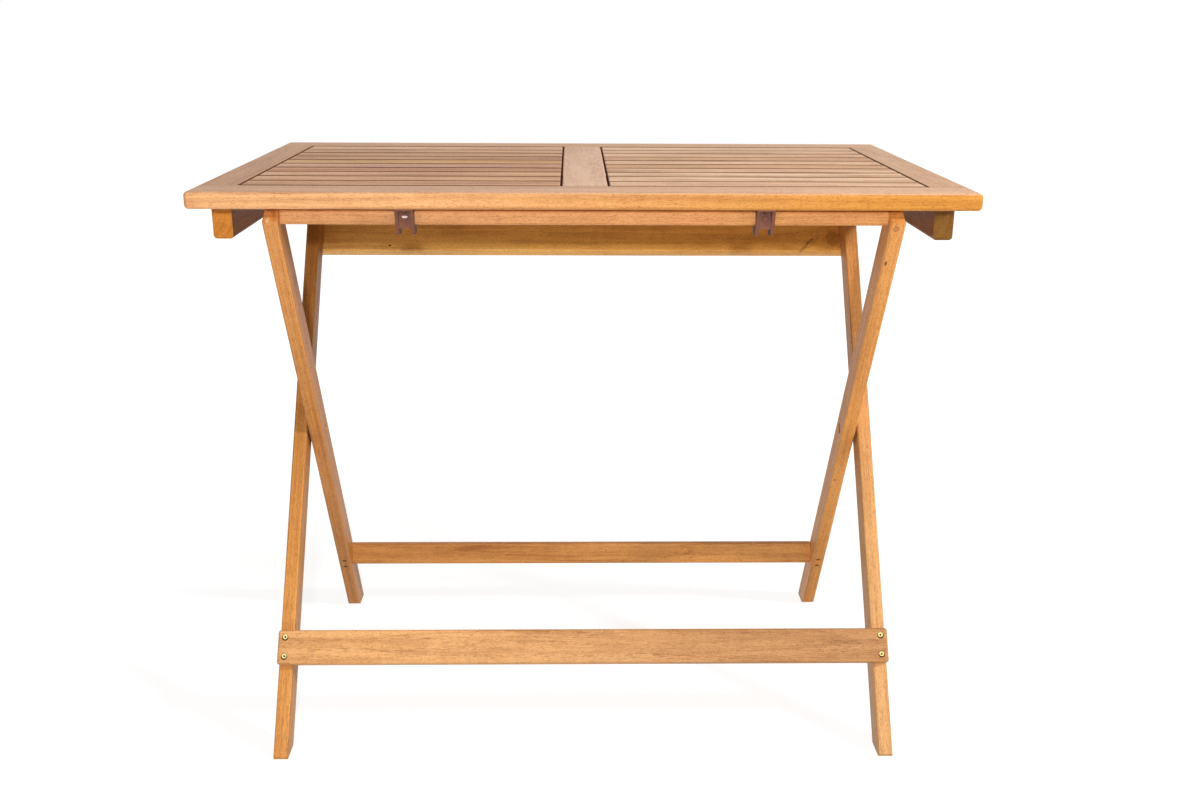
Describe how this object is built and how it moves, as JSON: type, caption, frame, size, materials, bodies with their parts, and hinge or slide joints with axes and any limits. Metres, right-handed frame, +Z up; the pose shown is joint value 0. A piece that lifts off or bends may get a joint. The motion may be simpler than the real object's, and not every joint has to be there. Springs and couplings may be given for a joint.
{
  "type": "folding picnic table",
  "caption": "Slatted wooden table whose two crossed leg frames fold together and whose top hangs from one frame and clips onto the other.",
  "frame": {"origin": "on the floor, under the middle of the whole table's outline", "axes": "+X along the long side of the top, +Y from the front edge to the back edge, +Z up"},
  "size_m": [0.9, 0.6204, 0.7],
  "materials": {
    "top_wood": "oiled, planed, light acacia",
    "slat_wood": "oiled, planed, light acacia",
    "bar_wood": "oiled, planed, honey acacia",
    "leg_wood": "oiled, planed, honey acacia",
    "clip_plastic": "moulded, brown",
    "brass_plate": "yellow-plated screw heads",
    "zinc_steel": "zinc-plated",
    "staple_wire": "coated wire, dulled"
  },
  "bodies": {
    "outer_frame": {"left_outer_leg": "leg_wood", "right_outer_leg": "leg_wood", "front_stretcher": "bar_wood", "rear_apron": "bar_wood", "stretcher_screws": "brass_plate", "apron_screws": "zinc_steel", "left_cross_bolt": "zinc_steel", "right_cross_bolt": "zinc_steel", "frame_spacers": "zinc_steel", "cross_washers": "zinc_steel", "cross_nuts": "zinc_steel"},
    "inner_frame": {"left_inner_leg": "leg_wood", "right_inner_leg": "leg_wood", "inner_top_bar": "bar_wood", "inner_lower_bar": "bar_wood", "lower_bar_staples": "staple_wire"},
    "tabletop": {"front_rail": "top_wood", "rear_rail": "top_wood", "left_end_board": "top_wood", "right_end_board": "top_wood", "centre_board": "top_wood", "left_slat_1": "slat_wood", "left_slat_2": "slat_wood", "left_slat_3": "slat_wood", "left_slat_4": "slat_wood", "left_slat_5": "slat_wood", "left_slat_6": "slat_wood", "left_slat_7": "slat_wood", "left_slat_8": "slat_wood", "left_slat_9": "slat_wood", "left_slat_10": "slat_wood", "right_slat_1": "slat_wood", "right_slat_2": "slat_wood", "right_slat_3": "slat_wood", "right_slat_4": "slat_wood", "right_slat_5": "slat_wood", "right_slat_6": "slat_wood", "right_slat_7": "slat_wood", "right_slat_8": "slat_wood", "right_slat_9": "slat_wood", "right_slat_10": "slat_wood", "left_bearer": "bar_wood", "right_bearer": "bar_wood", "left_pivot_block": "bar_wood", "right_pivot_block": "bar_wood", "bearer_screws": "zinc_steel", "block_screws": "zinc_steel", "left_clip": "clip_plastic", "right_clip": "clip_plastic", "clip_screws": "zinc_steel", "left_hinge_bolt": "zinc_steel", "right_hinge_bolt": "zinc_steel", "hinge_washers": "zinc_steel", "hinge_nuts": "zinc_steel"}
  },
  "joints": [
    {"name": "leg_fold", "type": "hinge", "parent": "outer_frame", "child": "inner_frame", "pos_m": [0, -0.0593, 0.35289], "axis": [-1, 0, 0], "range_deg": [0, 66]},
    {"name": "top_tilt", "type": "hinge", "parent": "outer_frame", "child": "tabletop", "pos_m": [0, 0.1432, 0.66], "axis": [-1, 0, 0], "range_deg": [0, 33]}
  ],
  "couplings": [
    {"joint": "top_tilt", "follows": "leg_fold", "ratio": 0.5}
  ]
}
